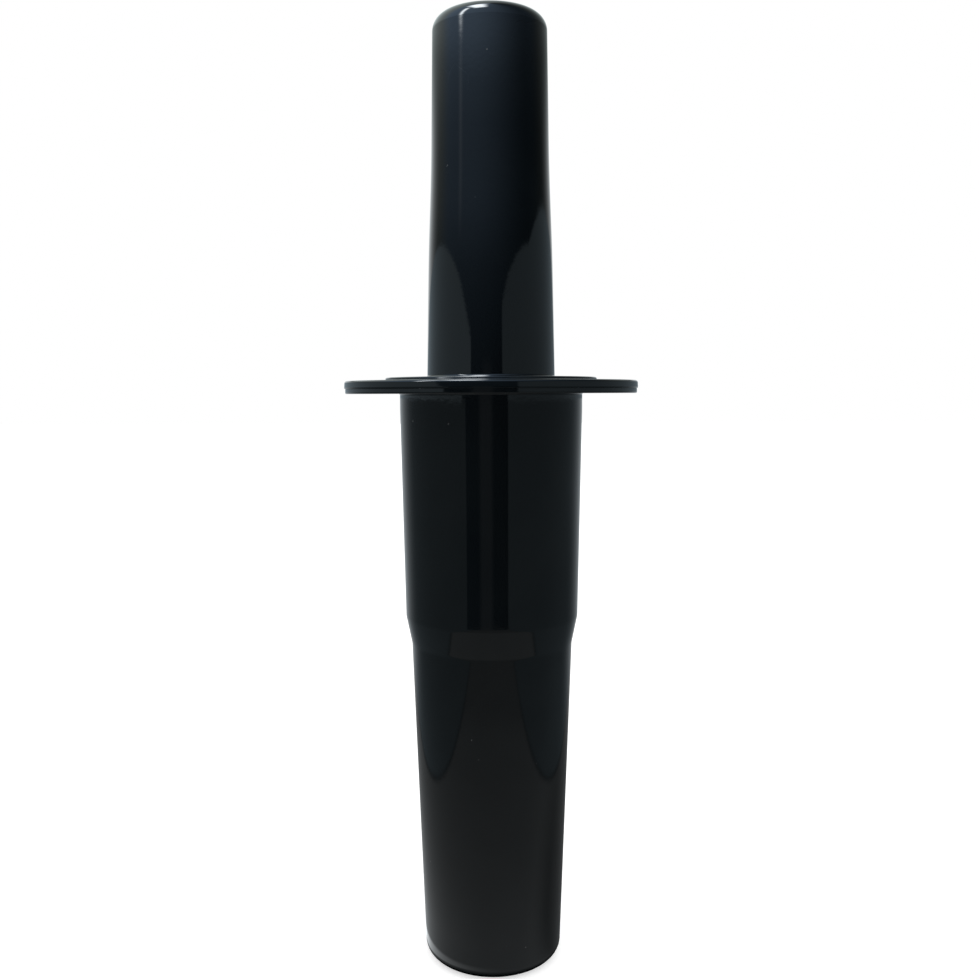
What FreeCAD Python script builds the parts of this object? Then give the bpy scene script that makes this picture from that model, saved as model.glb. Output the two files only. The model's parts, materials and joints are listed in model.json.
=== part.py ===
"""Blender tamper: a hollow stick with a splash disc, pushed down through the opening of a jar's lid.

It is two closed-ended plastic mouldings, welded disc half to disc half:

  handle_shell     the grip, closed at its top, with the upper half of the disc and its raised land
  shaft_shell      the shaft, closed at its foot, with the lower half of the disc
  inner_weld_bead  the ring of weld under the raised land, in a groove of the upper half
  rim_weld_bead    the ring of weld just inside the rim

Millimetres. +Z points up the stick from its foot to the top of its grip.
The origin is the centre of the foot, on the surface that the tamper stands on.
Every piece is a turned shape, so each is one outline of (radius, height) corners spun about Z.
"""

import FreeCAD, Part
import math
import os

# ---- Disc: two layers that meet at the seam ----
LID_PLANE_Z = 178.5            # underside of the disc, which rests on the lid
LOWER_LAYER = 1.5
UPPER_LAYER = 2.4
DISC_R = 45.0                  # at the fullest part of the rim
RIM_TOP_R = 44.9               # where the rim would meet the disc's top, before it is rounded
RIM_TOP_ROUND = 0.7
RIM_FULL_ABOVE_SEAM = 0.4
SEAM_R = 44.9                  # bottom edge of the upper layer, a hair inside the rim
LOWER_RIM_R = 44.7             # the lower layer is slightly smaller, so the upper one overhangs it
LOWER_RIM_ROUND = 0.35
LAND_R = 32.5                  # raised land round the root of the grip
LAND_HEIGHT = 1.0
LAND_EDGE_ROUND = 0.45
LAND_FOOT_ROUND = 0.4

SEAM_Z = LID_PLANE_Z + LOWER_LAYER
DISC_TOP_Z = SEAM_Z + UPPER_LAYER
LAND_TOP_Z = DISC_TOP_Z + LAND_HEIGHT

# ---- Grip: a tapered tube with a slight waist step, closed by a crowned top ----
GRIP_ROOT_R = 19.65
GRIP_ROOT_ROUND = 0.8
GRIP_STEP_FOOT = (18.85, 221.5)
GRIP_STEP_TOP = (17.9, 245.0)
GRIP_STEP_ROUND = 800.0
GRIP_END_R = 17.16             # where the side would meet the end, before it is rounded
GRIP_END_Z = 290.5
GRIP_END_ROUND = 4.5
CROWN_HEIGHT = 0.7
CROWN_REACH = 12.6             # radius out to which the end is crowned

# ---- Shaft: a tapered tube with a shoulder, closed by a flat foot ----
FOOT_R = 21.44                 # where the side would meet the floor, before it is rounded
FOOT_ROUND = 3.9
FOOT_RECESS_R = 13.2
FOOT_RECESS_DEPTH = 0.8
FOOT_RECESS_DRAFT = 0.5
GATE_R = 1.6                   # the trimmed moulding gate in the middle of the recess
GATE_HEIGHT = 0.4
SHOULDER_FOOT = (25.1, 100.8)
SHOULDER_TOP = (26.87, 109.5)
SHOULDER_ROUND = 6.0
GUIDE_R = 28.1                 # straight length under the disc that the lid's opening fits round
GUIDE_LENGTH = 5.0
GUIDE_ROUND = 20.0
DISC_ROOT_ROUND = 0.4

GUIDE_FOOT_Z = LID_PLANE_Z - GUIDE_LENGTH

# ---- Walls ----
GRIP_WALL = 2.3
GRIP_END_WALL = 2.6
SHAFT_WALL = 2.4
FOOT_WALL = 3.2
INNER_CORNER_ROUND = 1.8

# ---- Spigot of the upper moulding, which centres it in the mouth of the shaft ----
SPIGOT_CLEARANCE = 0.15
SPIGOT_WALL = 1.8
SPIGOT_DEPTH = 5.5
SPIGOT_LEAD = 0.5
SPIGOT_ROOT_ROUND = 0.6
MOUTH_R = GUIDE_R - SHAFT_WALL
SPIGOT_R = MOUTH_R - SPIGOT_CLEARANCE

# ---- Inner weld: a tongue on the lower layer, in a groove under the land ----
TONGUE_MID_R = 30.0
TONGUE_WIDTH = 1.4
TONGUE_HEIGHT = 1.2
GROOVE_WIDTH = 2.0
GROOVE_DEPTH = 1.5

# ---- Rim weld: a low ridge on the lower layer, in a shallow groove ----
RIDGE_MID_R = 42.6
RIDGE_WIDTH = 0.8
RIDGE_HEIGHT = 0.5
RIM_GROOVE_WIDTH = 1.2
RIM_GROOVE_DEPTH = 0.8

FULL_TURN = 360.0


def point(radius, height):
    """A point of an outline, in the plane that is spun about Z."""
    return FreeCAD.Vector(radius, 0, height)


def rounded_corner(before, corner, after, round_radius):
    """The tangent arc that rounds one corner, as its start, middle and end points."""
    to_before = (before - corner).normalize()
    to_after = (after - corner).normalize()
    half_angle = to_before.getAngle(to_after) / 2
    setback = round_radius / math.tan(half_angle)
    bisector = (to_before + to_after).normalize()
    centre = corner + bisector * (round_radius / math.sin(half_angle))
    start = corner + to_before * setback
    middle = centre - bisector * round_radius
    end = corner + to_after * setback
    return start, middle, end


def spin(corners):
    """A solid of revolution from (radius, height) or (radius, height, rounding) corners."""
    places = [point(corner[0], corner[1]) for corner in corners]
    rounds = [corner[2] if len(corner) > 2 else 0 for corner in corners]
    count = len(places)
    starts = []
    ends = []
    arcs = []
    for i in range(count):
        if rounds[i] > 0:
            start, middle, end = rounded_corner(
                places[i - 1], places[i], places[(i + 1) % count], rounds[i]
            )
            arcs.append(Part.Arc(start, middle, end).toShape())
        else:
            start = places[i]
            end = places[i]
            arcs.append(None)
        starts.append(start)
        ends.append(end)
    edges = []
    for i in range(count):
        following = (i + 1) % count
        if arcs[i] is not None:
            edges.append(arcs[i])
        if ends[i].distanceToPoint(starts[following]) > 1e-6:
            edges.append(Part.LineSegment(ends[i], starts[following]).toShape())
    face = Part.Face(Part.Wire(Part.__sortEdges__(edges)))
    return face.revolve(FreeCAD.Vector(0, 0, 0), FreeCAD.Vector(0, 0, 1), FULL_TURN)


def narrowed(corner, wall, round_radius=0):
    """The corner of the inner outline that lies behind an outer one."""
    return (corner[0] - wall, corner[1], round_radius)


def crown_corner(edge_r, edge_z, height, reach):
    """The corner whose rounding makes a shallow crown from the axis out to reach."""
    corner_r = reach / 2
    slope = math.atan(height / (edge_r - corner_r))
    crown_radius = corner_r / math.tan(slope / 2)
    return (corner_r, edge_z + height, crown_radius)


def groove(mid_r, width, depth):
    """Corners of a square groove cut upwards into the seam face, from its inner edge outwards."""
    inner_r = mid_r - width / 2
    outer_r = mid_r + width / 2
    return [
        (inner_r, SEAM_Z),
        (inner_r, SEAM_Z + depth),
        (outer_r, SEAM_Z + depth),
        (outer_r, SEAM_Z),
    ]


def tongue():
    """Corners of the square tongue that stands on the lower layer, from its outer edge inwards."""
    inner_r = TONGUE_MID_R - TONGUE_WIDTH / 2
    outer_r = TONGUE_MID_R + TONGUE_WIDTH / 2
    return [
        (outer_r, SEAM_Z),
        (outer_r, SEAM_Z + TONGUE_HEIGHT),
        (inner_r, SEAM_Z + TONGUE_HEIGHT),
        (inner_r, SEAM_Z),
    ]


def ridge():
    """Corners of the three-cornered ridge near the rim, from its outer edge inwards."""
    return [
        (RIDGE_MID_R + RIDGE_WIDTH / 2, SEAM_Z),
        (RIDGE_MID_R, SEAM_Z + RIDGE_HEIGHT),
        (RIDGE_MID_R - RIDGE_WIDTH / 2, SEAM_Z),
    ]


def grip_outside():
    """From the root of the grip up to the axis at its top."""
    return [
        (GRIP_ROOT_R, LAND_TOP_Z, GRIP_ROOT_ROUND),
        (*GRIP_STEP_FOOT, GRIP_STEP_ROUND),
        (*GRIP_STEP_TOP, GRIP_STEP_ROUND),
        (GRIP_END_R, GRIP_END_Z, GRIP_END_ROUND),
        crown_corner(GRIP_END_R, GRIP_END_Z, CROWN_HEIGHT, CROWN_REACH),
        (0, GRIP_END_Z + CROWN_HEIGHT),
    ]


def grip_inside():
    """From the axis under the top, down the bore of the grip to the seam."""
    ceiling_z = GRIP_END_Z + CROWN_HEIGHT - GRIP_END_WALL
    root_r = GRIP_ROOT_R - GRIP_WALL
    return [
        (0, ceiling_z),
        (GRIP_END_R - GRIP_WALL, ceiling_z, INNER_CORNER_ROUND),
        narrowed(GRIP_STEP_TOP, GRIP_WALL, GRIP_STEP_ROUND),
        narrowed(GRIP_STEP_FOOT, GRIP_WALL, GRIP_STEP_ROUND),
        (root_r, LAND_TOP_Z),
        (root_r, SEAM_Z),
    ]


def spigot():
    """The centring spigot, from its root inside the shaft round to its root at the seam."""
    inner_r = SPIGOT_R - SPIGOT_WALL
    end_z = SEAM_Z - SPIGOT_DEPTH
    return [
        (inner_r, SEAM_Z, SPIGOT_ROOT_ROUND),
        (inner_r, end_z),
        (SPIGOT_R - SPIGOT_LEAD, end_z),
        (SPIGOT_R, end_z + SPIGOT_LEAD),
        (SPIGOT_R, SEAM_Z),
    ]


def handle_shell():
    """The grip with the upper half of the disc, its land, spigot and two weld grooves."""
    upper_rim = [
        (SEAM_R, SEAM_Z),
        (DISC_R, SEAM_Z + RIM_FULL_ABOVE_SEAM),
        (RIM_TOP_R, DISC_TOP_Z, RIM_TOP_ROUND),
    ]
    land = [
        (LAND_R, DISC_TOP_Z, LAND_FOOT_ROUND),
        (LAND_R, LAND_TOP_Z, LAND_EDGE_ROUND),
    ]
    return spin(
        grip_inside()
        + spigot()
        + groove(TONGUE_MID_R, GROOVE_WIDTH, GROOVE_DEPTH)
        + groove(RIDGE_MID_R, RIM_GROOVE_WIDTH, RIM_GROOVE_DEPTH)
        + upper_rim
        + land
        + grip_outside()
    )


def shaft_outside():
    """From the axis under the foot, out and up the shaft to the underside of the disc."""
    recess_z = FOOT_RECESS_DEPTH
    gate_z = recess_z - GATE_HEIGHT
    return [
        (0, gate_z),
        (GATE_R, gate_z),
        (GATE_R, recess_z),
        (FOOT_RECESS_R - FOOT_RECESS_DRAFT, recess_z),
        (FOOT_RECESS_R, 0),
        (FOOT_R, 0, FOOT_ROUND),
        (*SHOULDER_FOOT, SHOULDER_ROUND),
        (*SHOULDER_TOP, SHOULDER_ROUND),
        (GUIDE_R, GUIDE_FOOT_Z, GUIDE_ROUND),
        (GUIDE_R, LID_PLANE_Z, DISC_ROOT_ROUND),
    ]


def shaft_inside():
    """From the mouth of the shaft down its bore to the axis on its floor."""
    return [
        (MOUTH_R, SEAM_Z),
        (MOUTH_R, GUIDE_FOOT_Z),
        narrowed(SHOULDER_TOP, SHAFT_WALL, SHOULDER_ROUND),
        narrowed(SHOULDER_FOOT, SHAFT_WALL, SHOULDER_ROUND),
        (FOOT_R - SHAFT_WALL, FOOT_WALL, INNER_CORNER_ROUND),
        (0, FOOT_WALL),
    ]


def shaft_shell():
    """The shaft with the lower half of the disc, its weld tongue and ridge."""
    lower_rim = [
        (LOWER_RIM_R, LID_PLANE_Z, LOWER_RIM_ROUND),
        (LOWER_RIM_R, SEAM_Z),
    ]
    return spin(shaft_outside() + lower_rim + ridge() + tongue() + shaft_inside())


def inner_weld_bead():
    """Weld that fills the inner groove over and beside the tongue."""
    return spin(groove(TONGUE_MID_R, GROOVE_WIDTH, GROOVE_DEPTH) + tongue())


def rim_weld_bead():
    """Weld that fills the rim groove over and beside the ridge."""
    return spin(groove(RIDGE_MID_R, RIM_GROOVE_WIDTH, RIM_GROOVE_DEPTH) + ridge())


def write(node, shape):
    """Writes one piece to its own file, named after its node."""
    solid = shape if shape.ShapeType == "Solid" else Part.makeSolid(shape)
    if not solid.isValid():
        raise ValueError(node + " is not a valid solid")
    solid.exportStep(os.path.join("parts", node + ".step"))
    print(node, "volume_cm3", round(solid.Volume / 1000, 2))


os.makedirs("parts", exist_ok=True)
for piece in (handle_shell, shaft_shell, inner_weld_bead, rim_weld_bead):
    write(piece.__name__, piece())
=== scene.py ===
"""Looks of the blender tamper: two polished black mouldings, on a plain pale floor in soft light.

Both mouldings are turned shapes, so each is a finely divided lathe mesh on the CAD outline, with
its outer edges rounded. Lengths that describe an outline, or a place on the light tent's floor, are
in millimetres and are scaled to metres as the mesh is made. Everything else is in metres.
"""

import json
import math

import bpy
import numpy as np
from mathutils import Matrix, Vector


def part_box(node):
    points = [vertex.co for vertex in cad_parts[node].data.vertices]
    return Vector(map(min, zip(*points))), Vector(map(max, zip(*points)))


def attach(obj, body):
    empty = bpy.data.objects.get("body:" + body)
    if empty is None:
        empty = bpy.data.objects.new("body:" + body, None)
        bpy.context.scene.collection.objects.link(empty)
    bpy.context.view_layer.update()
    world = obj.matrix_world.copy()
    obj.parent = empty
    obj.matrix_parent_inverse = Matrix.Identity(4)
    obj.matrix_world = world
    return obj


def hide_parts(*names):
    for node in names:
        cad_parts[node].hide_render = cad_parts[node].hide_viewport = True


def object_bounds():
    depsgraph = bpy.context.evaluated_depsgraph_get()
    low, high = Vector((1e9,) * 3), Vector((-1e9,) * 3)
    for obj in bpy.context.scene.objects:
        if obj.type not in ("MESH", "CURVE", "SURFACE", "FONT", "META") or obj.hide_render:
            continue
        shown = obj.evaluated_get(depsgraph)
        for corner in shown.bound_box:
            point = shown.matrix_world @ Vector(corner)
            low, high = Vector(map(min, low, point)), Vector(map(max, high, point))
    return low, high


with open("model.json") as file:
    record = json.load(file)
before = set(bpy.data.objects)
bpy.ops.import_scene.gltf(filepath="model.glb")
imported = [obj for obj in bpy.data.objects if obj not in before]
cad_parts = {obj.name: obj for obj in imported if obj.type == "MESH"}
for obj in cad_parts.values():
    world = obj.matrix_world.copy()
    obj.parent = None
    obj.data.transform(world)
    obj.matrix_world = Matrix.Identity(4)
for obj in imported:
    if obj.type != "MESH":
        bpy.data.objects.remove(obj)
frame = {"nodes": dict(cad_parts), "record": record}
cad_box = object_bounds()

MM = 0.001

# ---- What the frame says, in millimetres ----
MOUNTS = {mount["name"]: mount for mount in frame["record"]["mounts"]}
LID_PLANE_Z = MOUNTS["lid_seat"]["pos_m"][2] / MM
GUIDE_R = MOUNTS["lid_guide"]["dims"]["r_mm"]
SEAM_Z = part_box("inner_weld_bead")[0].z / MM
SPIGOT_END_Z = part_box("handle_shell")[0].z / MM
TOP_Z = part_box("handle_shell")[1].z / MM
DISC_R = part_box("handle_shell")[1].x / MM

# ---- Disc ----
UPPER_LAYER = 2.4
RIM_TOP_R = DISC_R - 0.1
RIM_TOP_ROUND = 0.7
RIM_FULL_ABOVE_SEAM = 0.4
SEAM_LIP_R = DISC_R - 0.06
SEAM_LIP_ROUND = 0.1
SEAM_GROOVE_R = DISC_R - 0.55
SEAM_GROOVE_GAP = 0.06
LOWER_RIM_R = DISC_R - 0.3
LOWER_RIM_ROUND = 0.35
LOWER_LIP_ROUND = 0.06
LAND_R = 32.5
LAND_HEIGHT = 1.0
LAND_EDGE_ROUND = 0.45
LAND_FOOT_ROUND = 0.4
DISC_TOP_Z = SEAM_Z + UPPER_LAYER
LAND_TOP_Z = DISC_TOP_Z + LAND_HEIGHT

# ---- Grip ----
GRIP_ROOT_R = 19.65
GRIP_ROOT_ROUND = 0.8
GRIP_STEP_FOOT = (18.85, 221.5)
GRIP_STEP_TOP = (17.9, 245.0)
GRIP_STEP_ROUND = 800.0
GRIP_END_R = 17.16
GRIP_END_ROUND = 4.5
CROWN_HEIGHT = 0.7
CROWN_REACH = 12.6
GRIP_WALL = 2.3
GRIP_END_WALL = 2.6
GRIP_END_Z = TOP_Z - CROWN_HEIGHT

# ---- Shaft ----
FOOT_R = 21.44
FOOT_ROUND = 3.9
FOOT_RECESS_R = 13.2
FOOT_RECESS_DEPTH = 0.8
FOOT_RECESS_DRAFT = 0.5
FOOT_EDGE_ROUND = 0.2
GATE_R = 1.6
GATE_HEIGHT = 0.4
SHOULDER_FOOT = (25.1, 100.8)
SHOULDER_TOP = (26.87, 109.5)
SHOULDER_ROUND = 6.0
GUIDE_FOOT_Z = LID_PLANE_Z - 5.0
GUIDE_ROUND = 20.0
DISC_ROOT_ROUND = 0.4
SHAFT_WALL = 2.4
FOOT_WALL = 3.2
INNER_CORNER_ROUND = 1.8
MOUTH_R = GUIDE_R - SHAFT_WALL

# ---- Spigot, tongue and grooves inside the joint ----
SPIGOT_R = MOUTH_R - 0.15
SPIGOT_WALL = 1.8
SPIGOT_LEAD = 0.5
SPIGOT_ROOT_ROUND = 0.6
TONGUE_MID_R = 30.0
TONGUE_WIDTH = 1.4
TONGUE_HEIGHT = 1.2
GROOVE_WIDTH = 2.0
GROOVE_DEPTH = 1.5
RIDGE_MID_R = 42.6
RIDGE_WIDTH = 0.8
RIDGE_HEIGHT = 0.5
RIM_GROOVE_WIDTH = 1.2
RIM_GROOVE_DEPTH = 0.8

# ---- How finely the lathe meshes are divided ----
TURN_STEPS = 240
ARC_STEP = math.radians(7.5)
FEWEST_ARC_STEPS = 4
LONGEST_STEP = 3.0
SUPPORT_STEP = 0.12
TOUCHING = 0.001
SHARP_ANGLE = math.radians(38)

# ---- Finish of the polished plastic ----
HANDLE_DARK = (0.0008, 0.0014, 0.0017)
HANDLE_LIGHT = (0.0014, 0.0022, 0.0025)
SHAFT_DARK = (0.0009, 0.0014, 0.0016)
SHAFT_LIGHT = (0.0015, 0.0021, 0.0023)
GLOSS_ROUGHNESS = 0.035
SMUDGE_ROUGHNESS = 0.02
SCRATCH_ROUGHNESS = 0.18
DUST_ROUGHNESS = 0.4
DUST_COLOUR = (0.03, 0.03, 0.03)
DUST_SCALE = 240
DUST_GRAIN = 0.075
DUST_PATCH_SCALE = DUST_SCALE / 3
DUST_PATCH = (0.63, 0.78)
FLOW_SCALE = 38
FLOW_TWIST = 0.6
FLOW_CONTRAST = (0.35, 0.65)
SMUDGE_SCALE = 26
SMUDGE_TWIST = 1.2
SMUDGE_PATCH = (0.52, 0.78)
SCRATCH_SCALE = 170
SCRATCH_STRETCH = (1, 1, 0.35)
SCRATCH_WIDTH = 0.018
SCRATCH_PATCH_SCALE = 60
SCRATCH_PATCH = (0.56, 0.66)
SCRATCH_DEPTH = 0.000004
LEAST_WEAR = 0.2
HANDLE_WEAR_Z = (0.25, 0.29)
SHAFT_WEAR_Z = (0.09, 0.0)
SINK_SCALE = 22
SINK_DEPTH = 0.00012
PEEL_SCALE = 750
PEEL_DEPTH = 0.0000035
PLASTIC_IOR = 1.5

# ---- Finish of the welds ----
WELD_DARK = (0.008, 0.008, 0.009)
WELD_LIGHT = (0.03, 0.03, 0.031)
WELD_ROUGHNESS = (0.45, 0.65)
LUMP_SCALE = 900
LUMP_CONTRAST = (0.3, 0.7)
LUMP_DEPTH = 0.00008

# ---- Camera ----
CAMERA_DISTANCE = 0.3248
CAMERA_PITCH = math.radians(5.246)
CAMERA_LENS = 38.45
CAMERA_SENSOR = 36.0
CAMERA_SIDE = -0.00048
CAMERA_ROLL = math.radians(0.23)
CAMERA_NEAREST = 0.01
CAMERA_FARTHEST = 100

# ---- Studio: angles in degrees, azimuth 0 on the camera's side and growing to the right ----
# A name ending in AZ or EL is an azimuth or an elevation. With two values, a ramp runs between them.
FLOOR_SIDE = 12.0
FLOOR_DROP = 0.0002
FLOOR_WHITE = 0.8
FLOOR_GLOW = 0.55
FLOOR_ROUGHNESS = 0.9
TENT_R = 40.0
TENT_AZ_STEP = 1.0
TENT_EL_STEP = 0.25
TENT_LOWEST_EL = -4
TENT_HIGHEST_EL = 90
TENT_FLOOR_NEAR = 5.0
TENT_FLOOR_RINGS = 400

# Tints of the light.
SKY_TINT = np.array((0.72, 1.0, 1.38))
BACK_SKY_TINT = np.array((0.88, 1.0, 1.0))
COOL = np.array((0.81, 1.0, 1.12))
NEUTRAL = np.array((0.95, 1.0, 1.03))

# The room above the walls.
SKY_BRIGHT_AZ = -95
SKY_BRIGHT_HALF = 45
SKY_DIM_HALF = 175
SKY_DIM_SHARE = 0.12
SKY_BACK_AZ = (80, 115)
SKY_LEVEL = 0.16
SKY_LEVEL_EL = 10
SKY_GROWTH_EL = 7.8
CEILING_EL = (18, 21.5)
CEILING_LEVEL = 0.3
HIGHEST_GROWTH_EL = 24

# The dark gap on the camera's side, from one azimuth to another, and the walls at both sides of it,
# each as the azimuth that it stands at and the elevation of its top there.
GAP = (-36, 20)
GAP_SOFT = 1
GAP_AT_FLOOR = (-31, 20)
GAP_AT_FLOOR_SOFT = 1
GAP_LINE = (-11, -2)
GAP_LINE_SOFT = 6
GAP_LINE_LEVEL = 0.065
GAP_LINE_TOP_EL = (3, 5)
LEFT_WALL = (-95, 10.5)
LEFT_WALL_LEVEL = 0.4
RIGHT_FLAG = (70, 11.2)
RIGHT_WALL = (105, 12.8)
RIGHT_WALL_LEVEL = 0.25
WALL_SOFT = 0.3
WALL_ENDS = (150, 178)

# The lights, the softbox by its sides in a ceiling one unit up.
SOFTBOX_X = (-0.36, -0.20)
SOFTBOX_Y = (-0.54, -0.18)
SOFTBOX_SOFT = 0.2
SOFTBOX_LOWEST_EL = 1
SOFTBOX_LEVEL = 19
TUBE_AZ = -59
TUBE_WIDTH = 3.4
TUBE_LEVEL = 18
TUBE_EL = (20, 23.5, 50, 58)
TUBE_GLOW = 0.25
TUBE_GLOW_EL = (11, 18)

# The white cloth behind the object.
BACKDROP_AZ = (112, 160)
BACKDROP_TOP_EL = (12, 19)
BACKDROP_LEVEL = 0.8
BACKDROP_ON_FLOOR = 0.5
BACKDROP_RIGHT_LOSS = 0.6

# The table, the sheet of paper on it, and the light and shade painted on them, the object's shadow among
# it.
TABLE_LEVEL = 0.145
# Painted pool of light: the table is brighter near the foot, by this level at TABLE_FOOT_R, fading over
# TABLE_FOOT_REACH.
FOOT_LIGHT_POOL_LEVEL = 0.148
TABLE_FOOT_R = 40
TABLE_FOOT_REACH = 60
LIT_SIDE_AZ = (0, 90)
LIT_SIDE_GAIN = 1.1
BACK_FADE_AZ = (145, 179)
# Painted pool of light on the sheet: brighter by this level near the foot, fading out between the radii
# of SHEET_NEAR.
SHEET_NEAR_POOL_LEVEL = 0.05
SHEET_NEAR = (190, 260)
SHEET_HALF = 160
SHEET_FRONT = 437
SHEET_FRONT_SOFT = 10
SHEET_EDGE_WIDTH = 4
# Painted shadow: a thin dark line along each long edge of the sheet, this deep.
SHEET_EDGE_SHADOW_DEPTH = 0.45
SHADOW_LEVEL = 0.11
SHADOW_FOOT_AZ = 32
SHADOW_SPREAD = 5
SHADOW_FAR_AZ = 108
SHADOW_END = (500, 1500)
SHADOW_SOFT = 19
# Painted shade at the foot's contact: the table darkens to nothing inside the first radius, and is full
# from the second.
CONTACT_SHADE = (20.5, 25)
CRESCENT = (25, 27.5)
CRESCENT_SOFT = 1.5
CRESCENT_AZ = (-15, 90)
CRESCENT_LEVEL = 1.0


# ---------------------------------------------------------------- lathe meshes


def groove(mid_r, width, depth):
    """A square groove cut upwards into the seam face, from its inner edge outwards."""
    inner_r = mid_r - width / 2
    outer_r = mid_r + width / 2
    return [
        (inner_r, SEAM_Z),
        (inner_r, SEAM_Z + depth),
        (outer_r, SEAM_Z + depth),
        (outer_r, SEAM_Z),
    ]


def crown_corner(edge_r, edge_z, height, reach):
    """The corner whose rounding makes a shallow crown from the axis out to reach."""
    corner_r = reach / 2
    slope = math.atan(height / (edge_r - corner_r))
    return (corner_r, edge_z + height, corner_r / math.tan(slope / 2))


def handle_outline():
    """Corners of the upper moulding: (radius, height, rounding), from its ceiling round to its crown."""
    ceiling_z = TOP_Z - GRIP_END_WALL
    inner_root_r = GRIP_ROOT_R - GRIP_WALL
    return [
        (0, ceiling_z),
        (GRIP_END_R - GRIP_WALL, ceiling_z, INNER_CORNER_ROUND),
        (GRIP_STEP_TOP[0] - GRIP_WALL, GRIP_STEP_TOP[1], GRIP_STEP_ROUND),
        (GRIP_STEP_FOOT[0] - GRIP_WALL, GRIP_STEP_FOOT[1], GRIP_STEP_ROUND),
        (inner_root_r, LAND_TOP_Z),
        (inner_root_r, SEAM_Z),
        (SPIGOT_R - SPIGOT_WALL, SEAM_Z, SPIGOT_ROOT_ROUND),
        (SPIGOT_R - SPIGOT_WALL, SPIGOT_END_Z),
        (SPIGOT_R - SPIGOT_LEAD, SPIGOT_END_Z),
        (SPIGOT_R, SPIGOT_END_Z + SPIGOT_LEAD),
        (SPIGOT_R, SEAM_Z),
        *groove(TONGUE_MID_R, GROOVE_WIDTH, GROOVE_DEPTH),
        *groove(RIDGE_MID_R, RIM_GROOVE_WIDTH, RIM_GROOVE_DEPTH),
        (SEAM_GROOVE_R, SEAM_Z),
        (SEAM_LIP_R, SEAM_Z, SEAM_LIP_ROUND),
        (DISC_R, SEAM_Z + RIM_FULL_ABOVE_SEAM, SEAM_LIP_ROUND),
        (RIM_TOP_R, DISC_TOP_Z, RIM_TOP_ROUND),
        (LAND_R, DISC_TOP_Z, LAND_FOOT_ROUND),
        (LAND_R, LAND_TOP_Z, LAND_EDGE_ROUND),
        (GRIP_ROOT_R, LAND_TOP_Z, GRIP_ROOT_ROUND),
        (*GRIP_STEP_FOOT, GRIP_STEP_ROUND),
        (*GRIP_STEP_TOP, GRIP_STEP_ROUND),
        (GRIP_END_R, GRIP_END_Z, GRIP_END_ROUND),
        crown_corner(GRIP_END_R, GRIP_END_Z, CROWN_HEIGHT, CROWN_REACH),
        (0, TOP_Z),
    ]


def shaft_outline():
    """Corners of the lower moulding: (radius, height, rounding), from its gate round to its floor."""
    gate_z = FOOT_RECESS_DEPTH - GATE_HEIGHT
    half_ridge = RIDGE_WIDTH / 2
    half_tongue = TONGUE_WIDTH / 2
    return [
        (0, gate_z),
        (GATE_R, gate_z),
        (GATE_R, FOOT_RECESS_DEPTH),
        (FOOT_RECESS_R - FOOT_RECESS_DRAFT, FOOT_RECESS_DEPTH, FOOT_EDGE_ROUND),
        (FOOT_RECESS_R, 0, FOOT_EDGE_ROUND),
        (FOOT_R, 0, FOOT_ROUND),
        (*SHOULDER_FOOT, SHOULDER_ROUND),
        (*SHOULDER_TOP, SHOULDER_ROUND),
        (GUIDE_R, GUIDE_FOOT_Z, GUIDE_ROUND),
        (GUIDE_R, LID_PLANE_Z, DISC_ROOT_ROUND),
        (LOWER_RIM_R, LID_PLANE_Z, LOWER_RIM_ROUND),
        (LOWER_RIM_R, SEAM_Z - SEAM_GROOVE_GAP, LOWER_LIP_ROUND),
        (SEAM_GROOVE_R, SEAM_Z),
        (RIDGE_MID_R + half_ridge, SEAM_Z),
        (RIDGE_MID_R, SEAM_Z + RIDGE_HEIGHT),
        (RIDGE_MID_R - half_ridge, SEAM_Z),
        (TONGUE_MID_R + half_tongue, SEAM_Z),
        (TONGUE_MID_R + half_tongue, SEAM_Z + TONGUE_HEIGHT),
        (TONGUE_MID_R - half_tongue, SEAM_Z + TONGUE_HEIGHT),
        (TONGUE_MID_R - half_tongue, SEAM_Z),
        (MOUTH_R, SEAM_Z),
        (MOUTH_R, GUIDE_FOOT_Z),
        (SHOULDER_TOP[0] - SHAFT_WALL, SHOULDER_TOP[1], SHOULDER_ROUND),
        (SHOULDER_FOOT[0] - SHAFT_WALL, SHOULDER_FOOT[1], SHOULDER_ROUND),
        (FOOT_R - SHAFT_WALL, FOOT_WALL, INNER_CORNER_ROUND),
        (0, FOOT_WALL),
    ]


def corner_points(before, corner, after, rounding):
    """The points that stand for one corner: itself, or its tangent arc."""
    if rounding == 0:
        return [corner]
    to_before = (before - corner).normalized()
    to_after = (after - corner).normalized()
    half_angle = to_before.angle(to_after) / 2
    bisector = (to_before + to_after).normalized()
    centre = corner + bisector * (rounding / math.sin(half_angle))
    setback = rounding / math.tan(half_angle)
    start = corner + to_before * setback - centre
    end = corner + to_after * setback - centre
    start_angle = math.atan2(start.y, start.x)
    turn = math.remainder(math.atan2(end.y, end.x) - start_angle, 2 * math.pi)
    steps = max(FEWEST_ARC_STEPS, math.ceil(abs(turn) / ARC_STEP))
    angles = [start_angle + turn * i / steps for i in range(steps + 1)]
    return [centre + Vector((math.cos(a), math.sin(a))) * rounding for a in angles]


def straight_points(start, end):
    """Points between two others: one close to each, and evenly spaced ones along a long stretch."""
    length = (end - start).length
    if length < 4 * SUPPORT_STEP:
        return []
    along = (end - start) / length
    first = start + along * SUPPORT_STEP
    last = end - along * SUPPORT_STEP
    count = math.ceil((last - first).length / LONGEST_STEP)
    return [first.lerp(last, i / count) for i in range(count + 1)]


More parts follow.
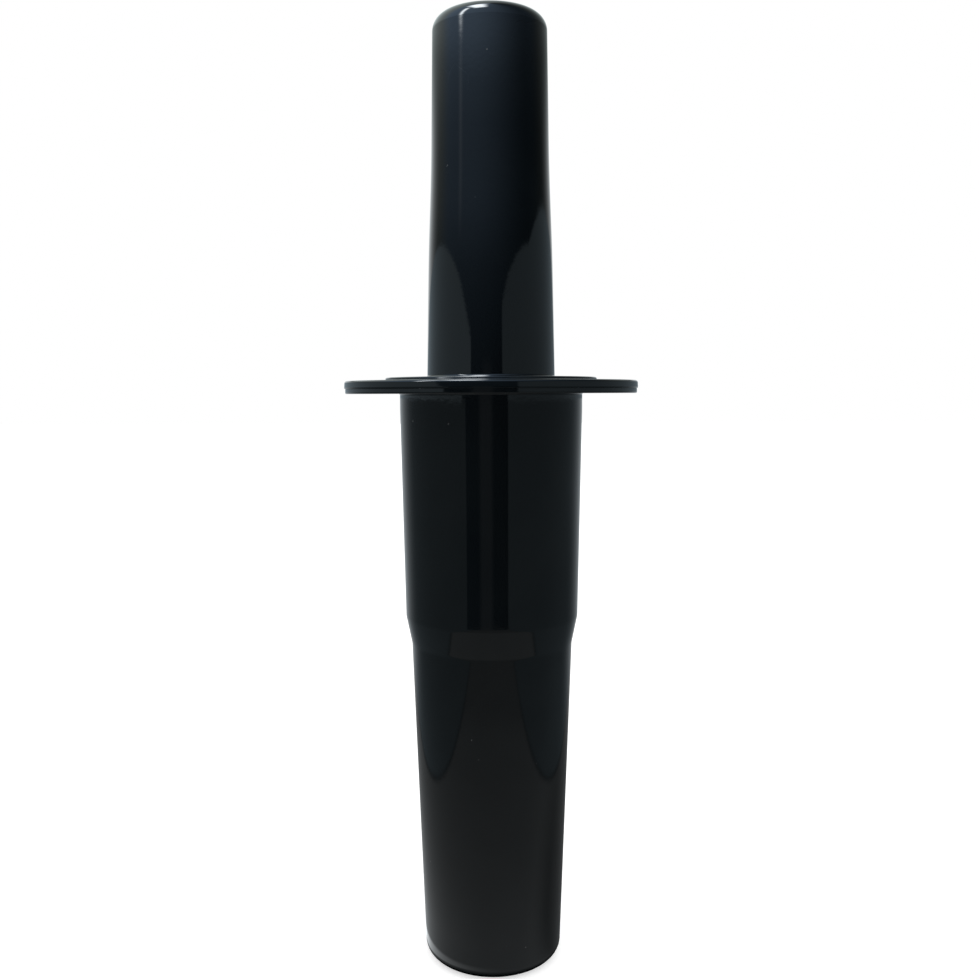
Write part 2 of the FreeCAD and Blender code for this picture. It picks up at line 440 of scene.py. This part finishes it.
def outline_points(corners):
    """The whole outline as points, with its arcs and long stretches divided."""
    places = [Vector((corner[0], corner[1])) for corner in corners]
    rounding = [corner[2] if len(corner) > 2 else 0 for corner in corners]
    count = len(places)
    groups = [
        corner_points(places[i - 1], places[i], places[(i + 1) % count], rounding[i])
        for i in range(count)
    ]
    points = [groups[0][0]]
    for i, group in enumerate(groups):
        stretch = straight_points(group[-1], groups[i + 1][0]) if i + 1 < count else []
        points += [point for point in group + stretch if (point - points[-1]).length > TOUCHING]
    return points


def lathe(name, corners):
    """A closed mesh: the outline turned about Z, in metres."""
    points = outline_points(corners)
    vertices = []
    rings = []
    for point in points:
        on_axis = point.x < TOUCHING
        around = 1 if on_axis else TURN_STEPS
        rings.append(range(len(vertices), len(vertices) + around))
        for step in range(around):
            angle = 2 * math.pi * step / TURN_STEPS
            x = point.x * math.cos(angle)
            y = point.x * math.sin(angle)
            vertices.append((x * MM, y * MM, point.y * MM))
    faces = []
    for lower, upper in zip(rings[:-1], rings[1:]):
        for step in range(TURN_STEPS):
            following = (step + 1) % TURN_STEPS
            if len(lower) == 1:
                faces.append((lower[0], upper[following], upper[step]))
            elif len(upper) == 1:
                faces.append((lower[step], lower[following], upper[0]))
            else:
                faces.append((lower[step], lower[following], upper[following], upper[step]))
    mesh = bpy.data.meshes.new(name)
    mesh.from_pydata(vertices, [], faces)
    mesh.validate()
    mesh.shade_smooth()
    mesh.set_sharp_from_angle(angle=SHARP_ANGLE)
    piece = bpy.data.objects.new(name, mesh)
    bpy.context.scene.collection.objects.link(piece)
    return piece


# ---------------------------------------------------------------- materials


class Shader:
    """One material's node tree, with short calls for the nodes that it uses."""

    def __init__(self, name):
        self.material = bpy.data.materials.new(name)
        self.material.use_nodes = True
        self.nodes = self.material.node_tree.nodes
        self.links = self.material.node_tree.links
        self.surface = self.nodes["Principled BSDF"]
        self.place = self.nodes.new("ShaderNodeTexCoord").outputs["Object"]

    def link(self, value, socket):
        if isinstance(value, bpy.types.NodeSocket):
            self.links.new(value, socket)
        else:
            socket.default_value = value

    def math(self, operation, a, b=0.0, c=0.0):
        node = self.nodes.new("ShaderNodeMath")
        node.operation = operation
        for value, socket in zip((a, b, c), node.inputs):
            self.link(value, socket)
        return node.outputs[0]

    def stretched(self, scale):
        node = self.nodes.new("ShaderNodeMapping")
        node.inputs["Scale"].default_value = scale
        self.links.new(self.place, node.inputs["Vector"])
        return node.outputs[0]

    def noise(self, scale, detail=2.0, distortion=0.0):
        node = self.nodes.new("ShaderNodeTexNoise")
        node.inputs["Scale"].default_value = scale
        node.inputs["Detail"].default_value = detail
        node.inputs["Distortion"].default_value = distortion
        self.links.new(self.place, node.inputs["Vector"])
        return node.outputs["Fac"]

    def cells(self, scale, feature="F1", vector=None):
        node = self.nodes.new("ShaderNodeTexVoronoi")
        node.feature = feature
        node.inputs["Scale"].default_value = scale
        self.links.new(vector or self.place, node.inputs["Vector"])
        return node

    def span(self, value, low, high, to_low=0.0, to_high=1.0):
        node = self.nodes.new("ShaderNodeMapRange")
        node.interpolation_type = "SMOOTHSTEP"
        self.link(value, node.inputs["Value"])
        node.inputs["From Min"].default_value = low
        node.inputs["From Max"].default_value = high
        node.inputs["To Min"].default_value = to_low
        node.inputs["To Max"].default_value = to_high
        return node.outputs["Result"]

    def colours(self, factor, low, high):
        node = self.nodes.new("ShaderNodeMix")
        node.data_type = "RGBA"
        self.links.new(factor, node.inputs["Factor"])
        node.inputs[6].default_value = (*low, 1)
        node.inputs[7].default_value = (*high, 1)
        return node.outputs[2]

    def mixed(self, factor, below, above):
        """The colour below, with the constant colour above over it where factor is 1."""
        node = self.nodes.new("ShaderNodeMix")
        node.data_type = "RGBA"
        self.links.new(factor, node.inputs["Factor"])
        self.links.new(below, node.inputs[6])
        node.inputs[7].default_value = (*above, 1)
        return node.outputs[2]

    def bump(self, height, distance, normal=None):
        node = self.nodes.new("ShaderNodeBump")
        node.inputs["Distance"].default_value = distance
        self.links.new(height, node.inputs["Height"])
        if normal is not None:
            self.links.new(normal, node.inputs["Normal"])
        return node.outputs["Normal"]


def polished_black(name, dark, light, wear_z):
    """Glossy moulded plastic with flow shading, faint orange peel, fine scratches and dust.

    Wear grows from little at the first height of wear_z to its most at the second.
    """
    shader = Shader(name)
    height = shader.nodes.new("ShaderNodeSeparateXYZ")
    shader.links.new(shader.place, height.inputs[0])
    wear = shader.span(height.outputs["Z"], *wear_z, LEAST_WEAR, 1.0)

    dust_cells = shader.cells(DUST_SCALE)
    dust_size = shader.noise(DUST_PATCH_SCALE, detail=0)
    grain = shader.math("MULTIPLY", shader.span(dust_size, *DUST_PATCH), DUST_GRAIN)
    dust = shader.math("LESS_THAN", dust_cells.outputs["Distance"], grain)

    flow = shader.noise(FLOW_SCALE, detail=3, distortion=FLOW_TWIST)
    base = shader.colours(shader.span(flow, *FLOW_CONTRAST), dark, light)
    base = shader.mixed(dust, base, DUST_COLOUR)
    shader.links.new(base, shader.surface.inputs["Base Color"])

    smudge = shader.noise(SMUDGE_SCALE, detail=4, distortion=SMUDGE_TWIST)
    smudge = shader.span(smudge, *SMUDGE_PATCH)
    stretched = shader.stretched(SCRATCH_STRETCH)
    scratch_cells = shader.cells(SCRATCH_SCALE, "DISTANCE_TO_EDGE", stretched)
    scratch_line = shader.span(scratch_cells.outputs["Distance"], 0.0, SCRATCH_WIDTH, 1.0, 0.0)
    scratch_patch = shader.span(shader.noise(SCRATCH_PATCH_SCALE, detail=1), *SCRATCH_PATCH)
    scratches = shader.math("MULTIPLY", shader.math("MULTIPLY", scratch_line, scratch_patch), wear)
    rough = shader.math("MULTIPLY_ADD", smudge, SMUDGE_ROUGHNESS, GLOSS_ROUGHNESS)
    rough = shader.math("MULTIPLY_ADD", scratches, SCRATCH_ROUGHNESS, rough)
    rough = shader.math("MULTIPLY_ADD", dust, DUST_ROUGHNESS, rough)
    shader.links.new(rough, shader.surface.inputs["Roughness"])

    normal = shader.bump(shader.noise(SINK_SCALE, detail=0), SINK_DEPTH)
    normal = shader.bump(shader.noise(PEEL_SCALE, detail=2), PEEL_DEPTH, normal=normal)
    normal = shader.bump(scratches, -SCRATCH_DEPTH, normal=normal)
    shader.links.new(normal, shader.surface.inputs["Normal"])
    shader.surface.inputs["IOR"].default_value = PLASTIC_IOR
    return shader.material


def weld_black(name):
    """Dull, slightly lumpy plastic that melted and set."""
    shader = Shader(name)
    lumps = shader.noise(LUMP_SCALE, detail=3)
    base = shader.colours(lumps, WELD_DARK, WELD_LIGHT)
    shader.links.new(base, shader.surface.inputs["Base Color"])
    rough = shader.span(lumps, *LUMP_CONTRAST, *WELD_ROUGHNESS)
    shader.links.new(rough, shader.surface.inputs["Roughness"])
    shader.links.new(shader.bump(lumps, LUMP_DEPTH), shader.surface.inputs["Normal"])
    return shader.material


# ---------------------------------------------------------------- studio


def ramp(value, start, end):
    """0 up to start, 1 from end, smooth between them."""
    t = np.clip((value - start) / (end - start), 0, 1)
    return t * t * (3 - 2 * t)


def within(value, low, high, soft):
    """1 between low and high, falling to 0 over soft outside each."""
    return ramp(value, low - soft, low) * (1 - ramp(value, high, high + soft))


def coloured(level, tint):
    """A level of light, in a tint."""
    return level[..., None] * tint


def sky(az, el):
    """Colour of the room above the walls: brighter towards its ceiling, and towards the left."""
    from_bright = np.abs((az - SKY_BRIGHT_AZ + 180) % 360 - 180)
    share = 1 - (1 - SKY_DIM_SHARE) * ramp(from_bright, SKY_BRIGHT_HALF, SKY_DIM_HALF)
    growth = np.exp((np.minimum(el, HIGHEST_GROWTH_EL) - SKY_LEVEL_EL) / SKY_GROWTH_EL)
    level = share * (SKY_LEVEL * growth + CEILING_LEVEL * ramp(el, *CEILING_EL))
    back = ramp(np.abs(az), *SKY_BACK_AZ)
    return coloured(level * (1 - back), SKY_TINT) + coloured(level * back, BACK_SKY_TINT)


def wall(az, el, facing, height):
    """1 on a long straight wall, whose top is at the elevation height where it is nearest."""
    nearness = np.maximum(np.cos(np.radians(az - facing)), 0) * (1 - ramp(np.abs(az), *WALL_ENDS))
    top = np.degrees(np.arctan(np.tan(np.radians(height)) * nearness))
    return 1 - ramp(el, top - WALL_SOFT, top + WALL_SOFT)


def softbox(az, el):
    """The softbox overhead, to the left: a rectangle in the ceiling, one unit up."""
    run = 1 / np.tan(np.radians(np.maximum(el, SOFTBOX_LOWEST_EL)))
    x = run * np.sin(np.radians(az))
    y = -run * np.cos(np.radians(az))
    inside = within(x, *SOFTBOX_X, SOFTBOX_SOFT) * within(y, *SOFTBOX_Y, SOFTBOX_SOFT)
    return SOFTBOX_LEVEL * inside


def tube(az, el):
    """A long narrow light that runs down from the softbox towards the left."""
    across = (az - TUBE_AZ) * np.cos(np.radians(el)) / TUBE_WIDTH
    bright = TUBE_LEVEL * ramp(el, *TUBE_EL[:2]) * (1 - ramp(el, *TUBE_EL[2:]))
    return np.exp(-(across**2)) * (bright + TUBE_GLOW * ramp(el, *TUBE_GLOW_EL))


def backdrop(az, el):
    """The white cloth behind the object."""
    rightness = np.maximum(np.sin(np.radians(az)), 0)
    level = BACKDROP_LEVEL * (1 - BACKDROP_RIGHT_LOSS * rightness)
    return level * ramp(np.abs(az), *BACKDROP_AZ) * (1 - ramp(el, *BACKDROP_TOP_EL))


def gap_line(az, el):
    """The faint upright line of light in the middle of the gap between the walls."""
    return GAP_LINE_LEVEL * within(az, *GAP_LINE, GAP_LINE_SOFT) * (1 - ramp(el, *GAP_LINE_TOP_EL))


def tent_light(az, el):
    """Colour of the light tent in one direction."""
    left = (1 - ramp(az, GAP[0] - GAP_SOFT, GAP[0] + GAP_SOFT)) * wall(az, el, *LEFT_WALL)
    right = np.maximum(wall(az, el, *RIGHT_FLAG), wall(az, el, *RIGHT_WALL))
    right = right * ramp(az, GAP[1] - GAP_SOFT, GAP[1] + GAP_SOFT)
    open_air = (1 - left) * (1 - right)
    return (
        open_air[..., None] * sky(az, el)
        + coloured(left * LEFT_WALL_LEVEL + right * RIGHT_WALL_LEVEL, COOL)
        + coloured(open_air * (softbox(az, el) + tube(az, el) + backdrop(az, el)), NEUTRAL)
        + coloured(gap_line(az, el), NEUTRAL)
    )


def tent_floor_light(az, radius):
    """Painted light and shade of the table, radius millimetres from the foot, with a sheet of paper
    lying on it.

    The sheet is long from front to back. The table glows with painted light and shade: a pool of light
    near the foot, the object's shadow falling to its right, shade at the foot's contact and along the
    sheet's edges, and a crescent at its left from light caught between the rounded foot and the sheet.
    """
    beside = np.abs(radius * np.sin(np.radians(az))) - SHEET_HALF
    bare = ramp(beside, -SHEET_EDGE_WIDTH, SHEET_EDGE_WIDTH)
    # Painted light: a pool of light on the table near the foot, stronger on its lit left side, and a
    # brighter sheet near the foot.
    foot = FOOT_LIGHT_POOL_LEVEL * np.exp(-np.maximum(radius - TABLE_FOOT_R, 0) / TABLE_FOOT_REACH)
    back = ramp(np.abs(az), *BACK_FADE_AZ)
    level = TABLE_LEVEL + foot * (1 + LIT_SIDE_GAIN * ramp(-az, *LIT_SIDE_AZ) * (1 - back))
    level = level + SHEET_NEAR_POOL_LEVEL * (1 - bare) * (1 - ramp(radius, *SHEET_NEAR))
    shadow_from = np.minimum(SHADOW_FOOT_AZ + SHADOW_SPREAD * np.sqrt(radius), SHADOW_FAR_AZ)
    shadow = ramp(az, shadow_from - SHADOW_SOFT, shadow_from + SHADOW_SOFT)
    shadow = shadow * (1 - back) * (1 - ramp(radius, *SHADOW_END))
    # Painted shade: the level darkens to nothing towards the foot's contact.
    level = (level + (SHADOW_LEVEL - level) * shadow) * ramp(radius, *CONTACT_SHADE)
    crescent = ramp(-az, *CRESCENT_AZ) * (1 - back) * within(radius, *CRESCENT, CRESCENT_SOFT)
    level = level + CRESCENT_LEVEL * crescent
    # Painted shadow of the sheet's edges: a thin dark line along each of them.
    level = level * (1 - SHEET_EDGE_SHADOW_DEPTH * np.exp(-((beside / SHEET_EDGE_WIDTH) ** 2)))

    horizon = np.zeros_like(az)
    far = ramp(radius, SHEET_HALF, SHEET_FRONT)
    past_front = ramp(radius, SHEET_FRONT - SHEET_FRONT_SOFT, SHEET_FRONT + SHEET_FRONT_SOFT)
    gap = within(az, *GAP_AT_FLOOR, GAP_AT_FLOOR_SOFT) * past_front
    return (
        coloured(level * bare * (1 - gap), COOL)
        + coloured(level * (1 - bare) * (1 - gap), NEUTRAL)
        + gap[..., None] * (sky(az, horizon) + coloured(gap_line(az, horizon), NEUTRAL))
        + coloured(BACKDROP_ON_FLOOR * backdrop(az, horizon) * far, NEUTRAL)
    )


def glowing_cloth(name, points, colours):
    """A grid of points that shines with a colour at each, and that only the gloss sees."""
    rows, columns = points.shape[:2]
    index = np.arange(rows * columns).reshape(rows, columns)
    turned = np.roll(index, -1, axis=1)
    faces = np.stack([index[:-1], turned[:-1], turned[1:], index[1:]], axis=-1).reshape(-1, 4)
    mesh = bpy.data.meshes.new(name)
    mesh.from_pydata(points.reshape(-1, 3).tolist(), [], faces.tolist())
    shades = np.concatenate([colours, np.ones((rows, columns, 1))], axis=-1)
    layer = mesh.color_attributes.new("light", "FLOAT_COLOR", "POINT")
    layer.data.foreach_set("color", shades.astype(np.float32).ravel())
    cloth = bpy.data.objects.new(name, mesh)
    bpy.context.scene.collection.objects.link(cloth)
    material = bpy.data.materials.new(name)
    material.use_nodes = True
    nodes = material.node_tree.nodes
    nodes.clear()
    attribute = nodes.new("ShaderNodeVertexColor")
    attribute.layer_name = "light"
    glow = nodes.new("ShaderNodeEmission")
    output = nodes.new("ShaderNodeOutputMaterial")
    material.node_tree.links.new(attribute.outputs["Color"], glow.inputs["Color"])
    material.node_tree.links.new(glow.outputs[0], output.inputs["Surface"])
    mesh.materials.append(material)
    cloth.visible_camera = False
    cloth.visible_diffuse = False
    cloth.visible_shadow = False
    cloth.visible_transmission = False


def light_tent():
    """A far dome of soft light, and a glowing floor to it, painted brighter near the foot and shaded."""
    az = np.arange(-180, 180, TENT_AZ_STEP)
    el = np.arange(TENT_LOWEST_EL, TENT_HIGHEST_EL + TENT_EL_STEP, TENT_EL_STEP)
    az_grid, el_grid = np.meshgrid(az, el)
    flat = np.cos(np.radians(el_grid))
    x = flat * np.sin(np.radians(az_grid))
    y = -flat * np.cos(np.radians(az_grid))
    z = np.sin(np.radians(el_grid))
    points = np.stack([x, y, z], axis=-1) * TENT_R
    glowing_cloth("tent_dome", points, tent_light(az_grid, el_grid))

    radius = np.geomspace(TENT_FLOOR_NEAR, TENT_R / MM, TENT_FLOOR_RINGS)
    az_grid, radius_grid = np.meshgrid(az, radius)
    x = radius_grid * np.sin(np.radians(az_grid)) * MM
    y = -radius_grid * np.cos(np.radians(az_grid)) * MM
    z = np.full_like(x, cad_box[0].z - FLOOR_DROP)
    points = np.stack([x, y, z], axis=-1)
    glowing_cloth("tent_floor", points, tent_floor_light(az_grid, radius_grid))


def pale_floor():
    """A wide pale floor under the foot. The gloss sees the tent's own floor in place of it."""
    half = FLOOR_SIDE / 2
    mesh = bpy.data.meshes.new("floor")
    corners = [(-half, -half, 0), (half, -half, 0), (half, half, 0), (-half, half, 0)]
    mesh.from_pydata(corners, [], [(0, 1, 2, 3)])
    floor = bpy.data.objects.new("floor", mesh)
    floor.location.z = cad_box[0].z - FLOOR_DROP
    bpy.context.scene.collection.objects.link(floor)
    material = bpy.data.materials.new("pale_floor")
    material.use_nodes = True
    surface = material.node_tree.nodes["Principled BSDF"]
    surface.inputs["Base Color"].default_value = (FLOOR_WHITE, FLOOR_WHITE, FLOOR_WHITE, 1)
    surface.inputs["Roughness"].default_value = FLOOR_ROUGHNESS
    surface.inputs["Specular IOR Level"].default_value = 0.0
    surface.inputs["Emission Color"].default_value = (1, 1, 1, 1)
    surface.inputs["Emission Strength"].default_value = FLOOR_GLOW
    mesh.materials.append(material)
    floor.visible_glossy = False


def white_world():
    """The plain white that the camera sees past the floor."""
    world = bpy.data.worlds.new("studio")
    bpy.context.scene.world = world
    world.use_nodes = True
    background = world.node_tree.nodes["Background"]
    background.inputs["Color"].default_value = (1, 1, 1, 1)
    background.inputs["Strength"].default_value = 1.0
    bpy.context.scene.view_settings.view_transform = "Standard"


def camera():
    """In front of the tamper, level with the underside of its disc and tilted down a little."""
    data = bpy.data.cameras.new("camera")
    data.lens = CAMERA_LENS
    data.sensor_width = CAMERA_SENSOR
    data.clip_start = CAMERA_NEAREST
    data.clip_end = CAMERA_FARTHEST
    viewer = bpy.data.objects.new("camera", data)
    viewer.location = (CAMERA_SIDE, -CAMERA_DISTANCE, LID_PLANE_Z * MM)
    viewer.rotation_euler = (math.pi / 2 - CAMERA_PITCH, CAMERA_ROLL, 0)
    bpy.context.scene.collection.objects.link(viewer)
    bpy.context.scene.camera = viewer


# ---------------------------------------------------------------- the scene

camera()
white_world()
light_tent()
pale_floor()

handle = lathe("handle_moulding", handle_outline())
handle.data.materials.append(
    polished_black("handle_gloss", HANDLE_DARK, HANDLE_LIGHT, HANDLE_WEAR_Z)
)
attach(handle, "root")
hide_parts("handle_shell")

shaft = lathe("shaft_moulding", shaft_outline())
shaft.data.materials.append(
    polished_black("shaft_gloss", SHAFT_DARK, SHAFT_LIGHT, SHAFT_WEAR_Z)
)
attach(shaft, "root")
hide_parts("shaft_shell")

weld = weld_black("weld")
for node in ("inner_weld_bead", "rim_weld_bead"):
    bead = frame["nodes"][node]
    bead.data.materials.clear()
    bead.data.materials.append(weld)
